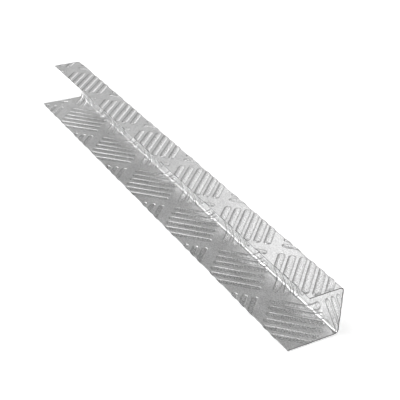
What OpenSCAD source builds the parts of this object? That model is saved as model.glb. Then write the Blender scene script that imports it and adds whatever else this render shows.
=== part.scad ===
// Edge profile: one strip of tread-pattern sheet, folded twice into an uneven channel.
// It is a single piece of metal, so it is one node: two flanges and a web with no joint between them.
// X runs along the length, the web stands at +Y, the channel opens towards -Y, +Z is up.
// The origin is under the middle of the strip, on the surface that the strip lies on.

/* [Profile] */
// Length of the strip
length = 446; // [120:1:1200]
// Height of the web between the plain outer faces of the two flanges
web_h = 40; // [24:0.5:80]
// Width of the short upper flange, from the web's plain outer face
short_w = 29; // [14:0.5:60]
// Width of the long lower flange, from the web's plain outer face
long_w = 43; // [20:0.5:90]
// Thickness of the sheet
sheet_t = 0.8; // [0.6:0.1:1.6]
// Outer radius of both folds
fold_r = 3.5; // [2.5:0.1:6]

/* [Tread pattern] */
// Distance from a cluster of bars to the next one of the same direction
period = 73.6; // [66:0.1:120]
// Number of bars in a cluster
bars = 6; // [2:1:6]
// Distance between the centre lines of neighbouring bars
bar_pitch = 7.8; // [7:0.05:8.05]
// Length of a bar over its round ends
bar_len = 43.5; // [12:0.5:43.5]
// Width of a bar
bar_w = 5.3; // [2:0.1:5.5]
// Height of a bar above the outer face
bar_h = 0.5; // [0.2:0.1:1]
// Place along X of the middle of one cluster on the upper flange
cluster_x = 199.2; // [0:0.1:220]
// Distance of that cluster's middle from the middle of the upper fold
cluster_in = 15.8; // [0:0.1:36]

/* [Hidden] */
$fn = 48;

metal = [0.74, 0.75, 0.76];
// Half of a fold's length, measured along the middle of the sheet
half_fold = (fold_r - sheet_t / 2) * PI / 4;
// Distance between the middles of the two folds, measured the same way
fold_gap = web_h - 2 * fold_r + 2 * half_fold;
// Distance from a fold's middle, along the sheet, to where the outer faces would meet in a corner
to_corner = fold_r - half_fold;
// Planes of the plain outer faces: the raised bars stand outside them
lower_z = bar_h;
upper_z = bar_h + web_h;
web_y = (long_w - bar_h) / 2;
// How deep a bar's foot goes into the sheet
bar_root = sheet_t / 2;
// A bar that reaches less than this far onto a face is left off it
least_reach = 2.5;
// How far a bar reaches from its middle, along X and across it, when it lies at 45 degrees
bar_reach = (bar_len - bar_w) / 2 * cos(45) + bar_w / 2;
// Rows and columns of clusters to try, which is more than the sheet holds
columns = ceil(length / period) + 1;
rows = ceil((short_w + web_h + long_w) / period) + 1;

// Outline of a solid block with the two folds rounded, inside the outer faces by inset
module folded_block(inset) {
    r = fold_r - inset;
    depth = long_w - inset - r;
    height = web_h - 2 * inset;
    translate([-long_w, inset]) square([depth, height]);
    translate([-inset - 2 * r, inset + r]) square([2 * r, height - 2 * r]);
    for (z = [inset + r, web_h - inset - r])
        translate([-inset - r, z]) circle(r);
}

// Section of the folded sheet, with the web's outer face on Y = 0 and the lower face on Z = 0
module section() {
    past = 1;
    difference() {
        folded_block(0);
        folded_block(sheet_t);
        translate([-long_w - past, sheet_t]) square([2 * past, web_h - 2 * sheet_t]);
        translate([-long_w - past, web_h / 2]) square([long_w - short_w + past, web_h]);
    }
}

// One bar, lying along X with its middle over the origin and its foot below Z = 0
module bar() {
    straight = bar_len - bar_w;
    translate([0, 0, -bar_root]) linear_extrude(bar_root + bar_h) {
        square([straight, bar_w], center = true);
        for (end = [-1, 1])
            translate([end * straight / 2, 0]) circle(bar_w / 2);
    }
}

// Middles of the bars of a cluster centred at c, whose bars lie at the angle turn
function bar_middles(c, turn) = [
    for (i = [0 : bars - 1])
        c + (i - (bars - 1) / 2) * bar_pitch * [-sin(turn), cos(turn)]
];

function reaches(p, low, high) =
    abs(p[0]) < length / 2 + bar_reach - least_reach
    && p[1] > low - bar_reach + least_reach
    && p[1] < high + bar_reach - least_reach;

// The bars on one flat face of the sheet, drawn as if unfolded and seen from outside.
// Y runs down the sheet from the middle of the upper fold, and the face lies from low to high.
module bars_on_face(low, high) {
    intersection() {
        translate([-length / 2, low, -bar_root]) cube([length, high - low, bar_root + bar_h]);
        union()
            for (column = [-columns : columns], row = [-rows : rows], half = [0, 0.5]) {
                turn = half == 0 ? -45 : 45;
                middle = [cluster_x, -cluster_in] + period * [column + half, row + half];
                for (p = bar_middles(middle, turn))
                    if (reaches(p, low, high))
                        translate(p) rotate(turn) bar();
            }
    }
}

module upper_flange_bars() {
    free_edge = -(half_fold + short_w - fold_r);
    translate([0, web_y - to_corner, upper_z]) bars_on_face(free_edge, -half_fold);
}

module web_bars() {
    translate([0, web_y, upper_z - to_corner]) rotate([-90, 0, 0])
        bars_on_face(half_fold, fold_gap - half_fold);
}

module lower_flange_bars() {
    free_edge = fold_gap + half_fold + long_w - fold_r;
    translate([0, web_y - to_corner + fold_gap, lower_z]) rotate([180, 0, 0])
        bars_on_face(fold_gap + half_fold, free_edge);
}

module edge_profile() {
    color(metal) union() {
        translate([-length / 2, web_y, lower_z]) rotate([90, 0, 90]) linear_extrude(length) section();
        upper_flange_bars();
        web_bars();
        lower_flange_bars();
    }
}

edge_profile();
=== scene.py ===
"""Looks of a folded tread-plate edging: one embossed metal strip, bent into an unequal channel."""

import math

import bpy
import numpy as np
from mathutils import Matrix, Vector
from mathutils.geometry import delaunay_2d_cdt


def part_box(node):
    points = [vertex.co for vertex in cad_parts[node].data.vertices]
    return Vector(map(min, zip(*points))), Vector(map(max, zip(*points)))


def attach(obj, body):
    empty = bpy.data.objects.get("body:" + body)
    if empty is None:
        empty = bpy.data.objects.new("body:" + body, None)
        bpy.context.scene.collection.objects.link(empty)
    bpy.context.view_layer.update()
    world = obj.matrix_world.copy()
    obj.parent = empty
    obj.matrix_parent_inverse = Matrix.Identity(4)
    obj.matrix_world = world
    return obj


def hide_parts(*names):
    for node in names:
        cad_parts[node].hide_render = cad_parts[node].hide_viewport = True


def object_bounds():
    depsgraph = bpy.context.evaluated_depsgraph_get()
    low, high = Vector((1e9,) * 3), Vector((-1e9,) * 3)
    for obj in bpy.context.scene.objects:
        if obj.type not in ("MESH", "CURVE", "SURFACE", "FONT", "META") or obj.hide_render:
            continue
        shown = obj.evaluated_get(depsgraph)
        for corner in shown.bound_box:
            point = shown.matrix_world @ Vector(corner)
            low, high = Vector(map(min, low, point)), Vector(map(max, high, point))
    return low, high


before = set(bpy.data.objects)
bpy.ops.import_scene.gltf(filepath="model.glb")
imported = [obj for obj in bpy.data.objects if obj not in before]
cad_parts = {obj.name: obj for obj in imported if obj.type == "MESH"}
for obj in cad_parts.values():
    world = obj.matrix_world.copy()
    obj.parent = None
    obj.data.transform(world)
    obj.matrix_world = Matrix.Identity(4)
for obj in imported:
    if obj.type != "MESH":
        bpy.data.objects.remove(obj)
cad_low, cad_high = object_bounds()

MM = 0.001

# Tread pattern, in mm, laid out on the flat strip. There, u runs from the middle of the upper fold
# round to the long flange's free edge, so that it is negative on the short flange.
PERIOD = 73.6
BARS = 6
BAR_PITCH = 7.8
BAR_LEN = 43.5
CLUSTER_X = 199.2
CLUSTER_U = -15.8
RISE = 0.5
# Width of a bar outside and of the hollow behind it, and how flat each is across: a higher power is flatter.
BAR_W = 5.3
BAR_POWER = 3.0
HOLLOW_W = 4.8
HOLLOW_POWER = 6.0
# The soft foot of a bar, from and to these shares of its half width.
FOOT_IN = 0.92
FOOT_OUT = 1.08
# The cut has pressed the pattern down to CUT_SHARE of its height, over the last END_FLAT mm.
END_FLAT = 2.4
CUT_SHARE = 0.3

# The folded strip, in mm, as the CAD part has it.
BOX_LOW, BOX_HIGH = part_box("edge_profile")
LENGTH = (BOX_HIGH.x - BOX_LOW.x) / MM
WEB_H = (BOX_HIGH.z - BOX_LOW.z) / MM - 2 * RISE
WEB_FACE_Y = BOX_HIGH.y / MM - RISE
LOWER_FACE_Z = BOX_LOW.z / MM + RISE
SHORT_W = 29.0
LONG_W = 43.0
SHEET = 0.8
FOLD_R = 3.5
BURR = 0.1
MID_R = FOLD_R - SHEET / 2
HALF_FOLD = MID_R * math.pi / 4
WEB_END = HALF_FOLD + WEB_H - 2 * FOLD_R
U_LOW = -HALF_FOLD - (SHORT_W - FOLD_R)
U_HIGH = WEB_END + 2 * HALF_FOLD + (LONG_W - FOLD_R)
UPPER_ARC_Z = LOWER_FACE_Z + WEB_H - FOLD_R
ARC_Y = WEB_FACE_Y - FOLD_R

# Fineness of the mesh: steps round a bar's end, round a fold and next to a cut end, and outlines
# drawn round each bar, as shares of its half width.
CAP_STEPS = 10
FOLD_STEPS = 10
END_STEPS = 4
RINGS = (1.19, FOOT_OUT, 1.0, FOOT_IN, 0.84, 0.75, 0.64, 0.5, 0.3)
MERGE = 1e-4
LEAST_AREA = 1e-7
CLOSE = 1e-3

# Materials of the strip, in the order of its slots.
ROLLED_FACE, CUT_END, SLIT_EDGE = range(3)

# Patterns in the metal, in cells a millimetre along each axis.
STREAK_CELLS = (0.03, 1.6, 1.6)
CLOUD_CELLS = (0.035, 0.06, 0.06)
GRAIN_CELLS = (1.0, 1.0, 1.0)
CUT_CELLS = (2.5, 2.5, 2.5)
NOISE_LOW = 0.3
NOISE_HIGH = 0.7

# Tone of the metal: clouds from one tone to another, then speckle and streaks either way, brighter
# bars, painted shade in the flanges' hollows, and painted shade in the creases that leaves a share of the
# tone.
CLOUD_TONES = (0.66, 0.74)
SPECKLE = 0.26
STREAKING = 0.02
BAR_SHINE = 0.03
# Painted shade in the hollows on the flanges' inner faces.
HOLLOW_SHADE = 0.13
# Share of the tone left in the creases: a painted shade.
CREASE_SHADE = 0.58
# How strong the grain is on the plain sheet, and how much it gains on a bar.
GRAIN_PLAIN = 0.55
GRAIN_ON_BARS = 0.75
# The crease round a bar's foot, where shade is painted in and the metal is made rougher: its width in mm, and
# its strength inside on the flanges and inside the folds.
CREASE_W = 0.5
FLANGE_CREASE = 0.25
CORNER_CREASE = 2.0

# Roughness of the metal, and what each thing changes in it.
ROUGH = 0.34
STREAK_ROUGH = 0.04
CLOUD_ROUGH = 0.03
BAR_ROUGH = -0.04
CREASE_ROUGH = 0.08
INNER_ROUGH = 0.16
# Depth in mm of the grain, and how deep the streaks are next to it.
GRAIN_DEPTH = 0.2
STREAK_DEPTH = 0.15

# Tones and roughness of the cut metal, and the share of the tone left where a bar is cut through.
END_TONES = (0.09, 0.2)
SLIT_TONES = (0.3, 0.5)
CUT_ROUGH = (0.45, 0.62)
CUT_DARK_ON_BARS = 0.35
CUT_DARK_FULL = 0.6

FLOOR_REACH = 8.0
FLOOR_TONE = 0.9
FLOOR_ROUGH = 0.9
FLOOR_GLOSS = 0.1
FLOOR_GLOW = 0.36

CAMERA_PLACE = Vector((0.61656, -0.33250, 0.40784))
CAMERA_FORWARD = Vector((-0.74, 0.4444, -0.505))
CAMERA_ROLL = math.radians(2.4)
CAMERA_LENS = 83.95
SENSOR_W = 36.0

# Lights: azimuth and elevation in degrees, watts. All are square and stand at the same distance.
SKY = 0.08
SOFTBOX_SIDE = 1.1
SOFTBOX_AWAY = 1.8
SOFTBOXES = {
    "front_left": (225, 38, 15.6),
    "overhead_left": (205, 66, 6.2),
    "front_high": (270, 60, 8.4),
    "front_low": (270, 15, 3.6),
    "back_right": (45, 38, 11.6),
    "back_low": (90, 12, 6.4),
    "rear": (125, 38, 4.3),
    "rear_low": (150, 25, 2.2),
}


def link_object(name, data):
    """A new object that holds data, in the scene."""
    new = bpy.data.objects.new(name, data)
    bpy.context.scene.collection.objects.link(new)
    return new


def turned(u):
    """How far the sheet has turned at u: 0 on the short flange, pi/2 on the web, pi on the long flange."""
    first = np.clip((u + HALF_FOLD) / MID_R, 0, math.pi / 2)
    second = np.clip((u - WEB_END) / MID_R, 0, math.pi / 2)
    return first + second


def folded(x, u, n):
    """Places (x, u) of the flat strip, n outward from its middle surface, in the row frame, in mm."""
    angle = turned(u)
    flat_before = np.minimum(u + HALF_FOLD, 0)
    flat_after = np.maximum(u - WEB_END - 2 * HALF_FOLD, 0)
    down_web = np.clip(u - HALF_FOLD, 0, WEB_END - HALF_FOLD)
    y = ARC_Y + flat_before - flat_after + (MID_R + n) * np.sin(angle)
    z = UPPER_ARC_Z - down_web + (MID_R + n) * np.cos(angle)
    return np.column_stack([x, y, z])


def bar_spines():
    """Both ends (x, u) of every bar's middle line that reaches the strip."""
    spines = []
    half_line = (BAR_LEN - BAR_W) / 2
    # More columns and rows of clusters than the strip holds, counted from the cluster at the near end.
    columns = range(-int(LENGTH / PERIOD) - 4, 2)
    rows = range(-1, 3)
    for half, rise in ((0, -1), (0.5, 1)):
        along = np.array([1.0, rise]) / math.sqrt(2)
        across = np.array([1.0, -rise]) / math.sqrt(2)
        for column in columns:
            for row in rows:
                middle = np.array([CLUSTER_X, CLUSTER_U]) + PERIOD * np.array([column + half, row + half])
                for i in range(BARS):
                    centre = middle + across * (i - (BARS - 1) / 2) * BAR_PITCH
                    a = centre - along * half_line
                    b = centre + along * half_line
                    low = np.minimum(a, b) - BAR_W / 2
                    high = np.maximum(a, b) + BAR_W / 2
                    on_length = high[0] >= -LENGTH / 2 and low[0] <= LENGTH / 2
                    on_width = high[1] >= U_LOW and low[1] <= U_HIGH
                    if on_length and on_width:
                        spines.append((a, b))
    return spines


def off_spine(x, u, a, b):
    """How far each (x, u) is from the line from a to b: along x, along u, and straight."""
    line = b - a
    near = np.clip(((x - a[0]) * line[0] + (u - a[1]) * line[1]) / (line @ line), 0, 1)
    dx = x - a[0] - near * line[0]
    du = u - a[1] - near * line[1]
    return dx, du, np.hypot(dx, du)


def crown(s, power):
    """Share of the full rise, and its slope, at s: the distance from a bar's middle over half its width."""
    rise = 1 - s ** power
    slope = -power * s ** (power - 1)
    foot_rise = 1 - FOOT_IN ** power
    foot_slope = -power * FOOT_IN ** (power - 1)
    span = FOOT_OUT - FOOT_IN
    h = np.clip((s - FOOT_IN) / span, 0, 1)
    blend = foot_rise * (2 * h ** 3 - 3 * h ** 2 + 1) + span * foot_slope * (h ** 3 - 2 * h ** 2 + h)
    blend_slope = foot_rise * (6 * h * h - 6 * h) / span + foot_slope * (3 * h * h - 4 * h + 1)
    in_foot = s > FOOT_IN
    return np.where(in_foot, blend, rise), np.where(in_foot, blend_slope, slope)


def end_share(x):
    """Share of the pattern's height that is left near the two cut ends, and its slope along x."""
    inward = np.clip((LENGTH / 2 - abs(x)) / END_FLAT, 0, 1)
    share = CUT_SHARE + (1 - CUT_SHARE) * (3 * inward ** 2 - 2 * inward ** 3)
    slope = -np.sign(x) * (1 - CUT_SHARE) * (6 * inward - 6 * inward ** 2) / END_FLAT
    return share, slope


def emboss(x, u, spines, width, power):
    """Height at each (x, u) of a pattern with bars of that width and power, and the outward normal."""
    height = np.zeros(len(x))
    slope_x = np.zeros(len(x))
    slope_u = np.zeros(len(x))
    for a, b in spines:
        dx, du, away = off_spine(x, u, a, b)
        on_bar = away < FOOT_OUT * width / 2
        share, share_slope = crown(away[on_bar] * 2 / width, power)
        height[on_bar] = RISE * share
        steep = RISE * share_slope * 2 / width / np.maximum(away[on_bar], MERGE)
        slope_x[on_bar] = steep * dx[on_bar]
        slope_u[on_bar] = steep * du[on_bar]
    left, left_slope = end_share(x)
    slope_x = slope_x * left + height * left_slope
    slope_u = slope_u * left
    angle = turned(u)
    flat_out = np.column_stack([np.zeros(len(x)), np.sin(angle), np.cos(angle)])
    along_u = np.column_stack([np.zeros(len(x)), np.cos(angle), -np.sin(angle)])
    along_x = np.array([[1.0, 0.0, 0.0]])
    outward = flat_out - slope_x[:, None] * along_x - slope_u[:, None] * along_u
    outward /= np.linalg.norm(outward, axis=1)[:, None]
    return height * left, outward


def crease_of(x, u, spines):
    """1 in the crease round a bar's foot, falling to 0 a little way off it."""
    nearest = np.full(len(x), LENGTH)
    for a, b in spines:
        away = off_spine(x, u, a, b)[2]
        nearest = np.minimum(nearest, abs(away - BAR_W / 2))
    return np.clip(1 - nearest / CREASE_W, 0, 1)


def ring_points(a, b, radius):
    """Outline of a round-ended bar with its middle line from a to b."""
    heading = math.atan2(b[1] - a[1], b[0] - a[0])
    points = []
    for end, turn in ((b, -math.pi / 2), (a, math.pi / 2)):
        for k in range(CAP_STEPS + 1):
            angle = heading + turn + math.pi * k / CAP_STEPS
            points.append((end[0] + radius * math.cos(angle), end[1] + radius * math.sin(angle)))
    return points


def flat_triangles(spines):
    """Triangles of the flat strip that follow every bar's flank and every step of the two folds."""
    x_end = LENGTH / 2 - BURR
    u_ends = (U_LOW + BURR, U_HIGH - BURR)
    points = [(-x_end, u_ends[0]), (x_end, u_ends[0]), (x_end, u_ends[1]), (-x_end, u_ends[1])]
    edges = [(0, 1), (1, 2), (2, 3), (3, 0)]
    lines = []
    for start in (-HALF_FOLD, WEB_END):
        for k in range(FOLD_STEPS + 1):
            u = start + 2 * HALF_FOLD * k / FOLD_STEPS
            lines.append(((-x_end, u), (x_end, u)))
    for k in range(1, END_STEPS + 1):
        for side in (-1, 1):
            x = side * (x_end - END_FLAT * k / END_STEPS)
            lines.append(((x, u_ends[0]), (x, u_ends[1])))
    for line in lines:
        edges.append((len(points), len(points) + 1))
        points += line
    for a, b in spines:
        edges.append((len(points), len(points) + 1))
        points += [tuple(a), tuple(b)]
        for ring in RINGS:
            first = len(points)
            points += ring_points(a, b, ring * BAR_W / 2)
            count = len(points) - first
            edges += [(first + k, first + (k + 1) % count) for k in range(count)]
    out = delaunay_2d_cdt([Vector(p) for p in points], edges, [], 0, MERGE)
    flat = np.array([(v.x, v.y) for v in out[0]])
    triangles = np.array([f for f in out[2] if len(f) == 3])
    middle = flat[triangles].mean(axis=1)
    inside = (abs(middle[:, 0]) < x_end) & (middle[:, 1] > u_ends[0]) & (middle[:, 1] < u_ends[1])
    side_a = flat[triangles[:, 1]] - flat[triangles[:, 0]]
    side_b = flat[triangles[:, 2]] - flat[triangles[:, 0]]
    area = side_a[:, 0] * side_b[:, 1] - side_a[:, 1] * side_b[:, 0]
    triangles = triangles[inside & (abs(area) > LEAST_AREA)]
    used = np.unique(triangles)
    renumber = np.full(len(flat), -1)
    renumber[used] = np.arange(len(used))
    return flat[used], renumber[triangles]


def outline_of(triangles):
    """Directed edges that only one triangle has: the outline of the strip."""
    sides = np.vstack([triangles[:, [0, 1]], triangles[:, [1, 2]], triangles[:, [2, 0]]])
    seen = set(map(tuple, sides))
    return sorted((i, j) for i, j in seen if (j, i) not in seen)


def strip_piece():
    """The whole embossed strip as one closed mesh, with the exact normals of its faces."""
    spines = bar_spines()
    flat, triangles = flat_triangles(spines)
    x, u = flat[:, 0], flat[:, 1]
    count = len(x)
    height, outward = emboss(x, u, spines, BAR_W, BAR_POWER)
    hollow, hollow_out = emboss(x, u, spines, HOLLOW_W, HOLLOW_POWER)
    outer = folded(x, u, SHEET / 2 + height)
    inner = folded(x, u, -SHEET / 2 + hollow)

    # The rim between the two faces has a small burr edge on both sides.
    rim_x = x + np.sign(x) * BURR * (abs(x) > LENGTH / 2 - BURR - CLOSE)
    rim_u = u + BURR * (u > U_HIGH - BURR - CLOSE) - BURR * (u < U_LOW + BURR + CLOSE)
    rim_outer = folded(rim_x, rim_u, SHEET / 2 - BURR + height)
    rim_inner = folded(rim_x, rim_u, -SHEET / 2 + BURR + hollow)
    outline = outline_of(triangles)
    rim = sorted(set(i for pair in outline for i in pair))
    rims = len(rim)
    at_rim = {v: 2 * count + k for k, v in enumerate(rim)}

    faces = [tuple(t) for t in triangles]
    faces += [tuple(t + count) for t in triangles[:, ::-1]]
    sheet_faces = len(faces)
    slots = [ROLLED_FACE] * sheet_faces
    at_end = abs(x) > LENGTH / 2 - 2 * BURR
    for i, j in outline:
        slots += [CUT_END if at_end[i] and at_end[j] else SLIT_EDGE] * 3
        faces.append((j, i, at_rim[i], at_rim[j]))
        faces.append((at_rim[j], at_rim[i], at_rim[i] + rims, at_rim[j] + rims))
        faces.append((at_rim[j] + rims, at_rim[i] + rims, i + count, j + count))

    mesh = bpy.data.meshes.new("tread_strip")
    coords = np.vstack([outer, inner, rim_outer[rim], rim_inner[rim]]) * MM
    mesh.from_pydata(coords.tolist(), [], faces)
    mesh.polygons.foreach_set("use_smooth", [True] * len(faces))
    mesh.polygons.foreach_set("material_index", slots)
    angle = turned(u)
    in_corner = (angle > 0) & (angle < math.pi)
    # Painted shade: the crease mask darkens the tone round each bar's foot, most inside the folds.
    crease = crease_of(x, u, spines)
    crease_inside = crease * np.where(in_corner, CORNER_CREASE, FLANGE_CREASE)
    for name, outside, inside in (
        ("raised", height / RISE, hollow / RISE),
        ("crease", crease, crease_inside),
        ("inner_flange", np.zeros(count), 1.0 - in_corner),
    ):
        layer = mesh.attributes.new(name, "FLOAT", "POINT")
        values = np.concatenate([outside, inside, outside[rim], inside[rim]])
        layer.data.foreach_set("value", values.astype(np.float32))
    mesh.update()

    loop_vertex = np.zeros(len(mesh.loops), int)
    mesh.loops.foreach_get("vertex_index", loop_vertex)
    normals = np.vstack([outward, -hollow_out, np.zeros((2 * rims, 3))])[loop_vertex]
    for poly in mesh.polygons[sheet_faces:]:
        normals[poly.loop_start:poly.loop_start + poly.loop_total] = poly.normal
    mesh.normals_split_custom_set(normals.tolist())
    return link_object("tread_strip", mesh)


class Shading:
    """A material in the making, with short ways to add the nodes that it needs."""

    def __init__(self, name):
        self.material = bpy.data.materials.new(name)
        self.material.use_nodes = True
        self.nodes = self.material.node_tree.nodes
        self.links = self.material.node_tree.links
        self.shader = self.nodes["Principled BSDF"]

    def fix(self, socket, value):
        """Sets the shader's socket to one value for the whole surface."""
        self.shader.inputs[socket].default_value = value

    def drive(self, socket, value):
        """Links a node's output to the shader's socket."""
        self.links.new(value, self.shader.inputs[socket])

    def attribute(self, name):
        """What the mesh holds under that name at each place."""
        node = self.nodes.new("ShaderNodeAttribute")
        node.attribute_name = name
        return node.outputs["Fac"]

    def noise(self, cells, detail=3.0):
        """A noise over the object, with that many cells a millimetre along each axis."""
        place = self.nodes.new("ShaderNodeTexCoord")
        scale = self.nodes.new("ShaderNodeMapping")
        scale.inputs["Scale"].default_value = [k / MM for k in cells]
        grain = self.nodes.new("ShaderNodeTexNoise")
        grain.inputs["Scale"].default_value = 1.0
        grain.inputs["Detail"].default_value = detail
        self.links.new(place.outputs["Object"], scale.inputs["Vector"])
        self.links.new(scale.outputs["Vector"], grain.inputs["Vector"])
        return grain.outputs["Fac"]

    def spread(self, value, low, high, start=NOISE_LOW, end=NOISE_HIGH):
        """value taken from start..end to low..high."""
        node = self.nodes.new("ShaderNodeMapRange")
        node.inputs["From Min"].default_value = start
        node.inputs["From Max"].default_value = end
        node.inputs["To Min"].default_value = low
        node.inputs["To Max"].default_value = high
        self.links.new(value, node.inputs["Value"])
        return node.outputs["Result"]

    def combine(self, operation, a, b):
        """a and b, each a number or a node's output, put together by a Math node."""
        node = self.nodes.new("ShaderNodeMath")
        node.operation = operation
        for socket, value in zip(node.inputs, (a, b)):
            if isinstance(value, float):
                socket.default_value = value
            else:
                self.links.new(value, socket)
        return node.outputs["Value"]

    def add(self, a, b):
        return self.combine("ADD", a, b)

    def times(self, a, b):
        return self.combine("MULTIPLY", a, b)

    def grey(self, value):
        """A neutral colour of that tone."""
        node = self.nodes.new("ShaderNodeCombineColor")
        for socket in node.inputs:
            self.links.new(value, socket)
        return node.outputs["Color"]


def rolled_metal():
    """Bare mill-finish sheet: rolled streaks, fine grain, rubbed bars, and painted shade in the creases round
    them and in the flanges' inner hollows.
    """
    look = Shading("rolled_metal")
    raised = look.attribute("raised")
    crease = look.attribute("crease")
    inner_flange = look.attribute("inner_flange")
    streak = look.noise(STREAK_CELLS)
    cloud = look.noise(CLOUD_CELLS)
    grain = look.noise(GRAIN_CELLS)
    coarse = look.add(look.times(raised, GRAIN_ON_BARS), GRAIN_PLAIN)

    tone = look.spread(cloud, *CLOUD_TONES)
    tone = look.add(tone, look.times(look.spread(grain, -SPECKLE, SPECKLE), coarse))
    tone = look.add(tone, look.spread(streak, -STREAKING, STREAKING))
    # Bars a little brighter from wear; the hollows on the flanges' inner faces darker, a painted shade.
    wear_and_hollow_shade = look.add(look.times(inner_flange, -HOLLOW_SHADE), BAR_SHINE)
    tone = look.add(tone, look.times(raised, wear_and_hollow_shade))
    # Painted shade: darker in the crease round each bar's foot.
    tone = look.times(tone, look.spread(crease, 1.0, CREASE_SHADE, 0.0, 1.0))
    look.fix("Metallic", 1.0)
    look.drive("Base Color", look.grey(tone))

    rough = look.spread(streak, ROUGH - STREAK_ROUGH, ROUGH + STREAK_ROUGH)
    rough = look.add(rough, look.spread(cloud, -CLOUD_ROUGH, CLOUD_ROUGH))
    rough = look.add(rough, look.times(raised, BAR_ROUGH))
    rough = look.add(rough, look.times(crease, CREASE_ROUGH))
    rough = look.add(rough, look.times(inner_flange, INNER_ROUGH))
    look.drive("Roughness", rough)

    bump = look.nodes.new("ShaderNodeBump")
    bump.inputs["Strength"].default_value = 1.0
    bump.inputs["Distance"].default_value = GRAIN_DEPTH * MM
    relief = look.add(look.times(coarse, grain), look.times(streak, STREAK_DEPTH))
    look.links.new(relief, bump.inputs["Height"])
    look.drive("Normal", bump.outputs["Normal"])
    return look.material


def cut_metal(name, tones):
    """Cut edges with fine lines in them, darker where the cut goes through a bar."""
    look = Shading(name)
    lines = look.noise(CUT_CELLS, 2.0)
    # The cut metal is darker where the cut goes through a bar, down to a share of its tone.
    darker_on_bars = look.spread(look.attribute("raised"), 1.0, CUT_DARK_ON_BARS, 0.0, CUT_DARK_FULL)
    look.fix("Metallic", 1.0)
    look.drive("Base Color", look.grey(look.times(look.spread(lines, *tones), darker_on_bars)))
    look.drive("Roughness", look.spread(lines, *CUT_ROUGH))
    return look.material


def floor_piece(level):
    """A plain pale floor under the strip, with a faint glow that keeps it as white as in the photo."""
    corners = [(x * FLOOR_REACH, y * FLOOR_REACH, level) for x, y in ((-1, -1), (1, -1), (1, 1), (-1, 1))]
    mesh = bpy.data.meshes.new("floor")
    mesh.from_pydata(corners, [], [(0, 1, 2, 3)])
    look = Shading("pale_floor")
    look.fix("Base Color", (FLOOR_TONE, FLOOR_TONE, FLOOR_TONE, 1))
    look.fix("Roughness", FLOOR_ROUGH)
    look.fix("Specular IOR Level", FLOOR_GLOSS)
    look.fix("Emission Color", (1, 1, 1, 1))
    look.fix("Emission Strength", FLOOR_GLOW)
    mesh.materials.append(look.material)
    floor = link_object("floor", mesh)


def aim(obj, place, target, roll=0.0):
    """Puts obj at place, looking at target, turned by roll about its own axis."""
    back = (place - target).normalized()
    right = Vector((0, 0, 1)).cross(back).normalized()
    up = back.cross(right)
    turn = Matrix.Rotation(roll, 3, back)
    right, up = turn @ right, turn @ up
    obj.matrix_world = Matrix((
        (right.x, up.x, back.x, place.x),
        (right.y, up.y, back.y, place.y),
        (right.z, up.z, back.z, place.z),
        (0, 0, 0, 1),
    ))


def camera():
    """The photo's viewing angle: a long lens, a little over the near end, slightly rolled."""
    data = bpy.data.cameras.new("camera")
    data.sensor_width = SENSOR_W
    data.lens = CAMERA_LENS
    view = link_object("camera", data)
    aim(view, CAMERA_PLACE, CAMERA_PLACE + CAMERA_FORWARD, CAMERA_ROLL)
    bpy.context.scene.camera = view


def studio():
    """A soft, low-key studio: an even sky and large softboxes all round, dimmest behind the far end."""
    world = bpy.data.worlds.new("studio")
    bpy.context.scene.world = world
    world.use_nodes = True
    sky = world.node_tree.nodes["Background"]
    sky.inputs["Color"].default_value = (1, 1, 1, 1)
    sky.inputs["Strength"].default_value = SKY
    for name, (azimuth, elevation, power) in SOFTBOXES.items():
        flat = math.cos(math.radians(elevation))
        direction = Vector((
            flat * math.cos(math.radians(azimuth)),
            flat * math.sin(math.radians(azimuth)),
            math.sin(math.radians(elevation)),
        ))
        light = bpy.data.lights.new(name, "AREA")
        light.shape = "SQUARE"
        light.size = SOFTBOX_SIDE
        light.energy = power
        aim(link_object(name, light), direction * SOFTBOX_AWAY, Vector((0, 0, 0)))


strip = strip_piece()
strip.data.materials.append(rolled_metal())
strip.data.materials.append(cut_metal("cut_ends", END_TONES))
strip.data.materials.append(cut_metal("slit_edges", SLIT_TONES))
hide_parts("edge_profile")
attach(strip, "root")
floor_piece(cad_low.z)
studio()
camera()
# The tones above are meant as they are, with no film-like curve over them.
bpy.context.scene.view_settings.view_transform = "Standard"
